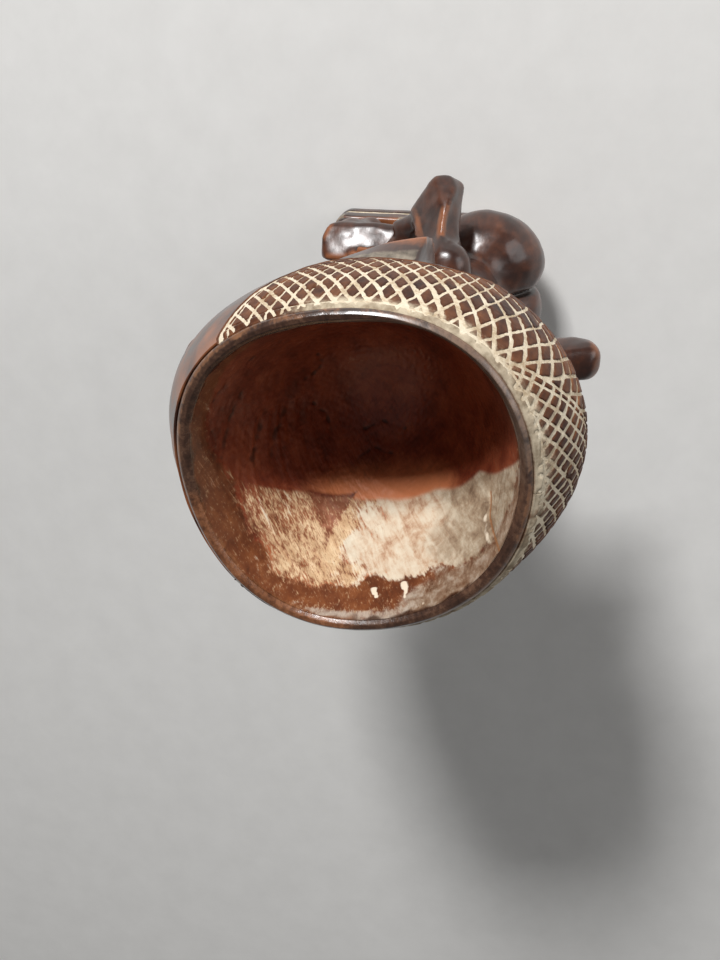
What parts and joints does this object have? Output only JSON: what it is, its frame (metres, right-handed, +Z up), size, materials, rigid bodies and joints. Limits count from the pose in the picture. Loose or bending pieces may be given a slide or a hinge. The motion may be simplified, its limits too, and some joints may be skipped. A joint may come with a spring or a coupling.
{
  "type": "carved cup",
  "caption": "Wooden cup carved as a head with a cross-hatched coiffure filled with white clay, carried by a small seated figure on an oblong plinth.",
  "frame": {"origin": "middle of the plinth's underside, straight below the middle of the cup's mouth", "axes": "+Z up through the mouth, -Y the way the face looks, +X to the figure's own left"},
  "size_m": [0.0965, 0.1242, 0.186],
  "materials": {
    "polished_wood": "dark reddish brown, rubbed to a gloss, worn to orange-brown on the edges",
    "white_clay": "dry white kaolin pressed into the cuts, cream with brown stains"
  },
  "bodies": {
    "root": {"carving": "polished_wood", "coiffure_clay_right": "white_clay", "coiffure_clay_left": "white_clay", "coiffure_clay_back": "white_clay", "hairline_clay_right": "white_clay", "hairline_clay_left": "white_clay", "lip_line_clay": "white_clay", "eye_clay_right": "white_clay", "eye_clay_left": "white_clay", "plinth_band_clay": "white_clay"}
  },
  "joints": []
}
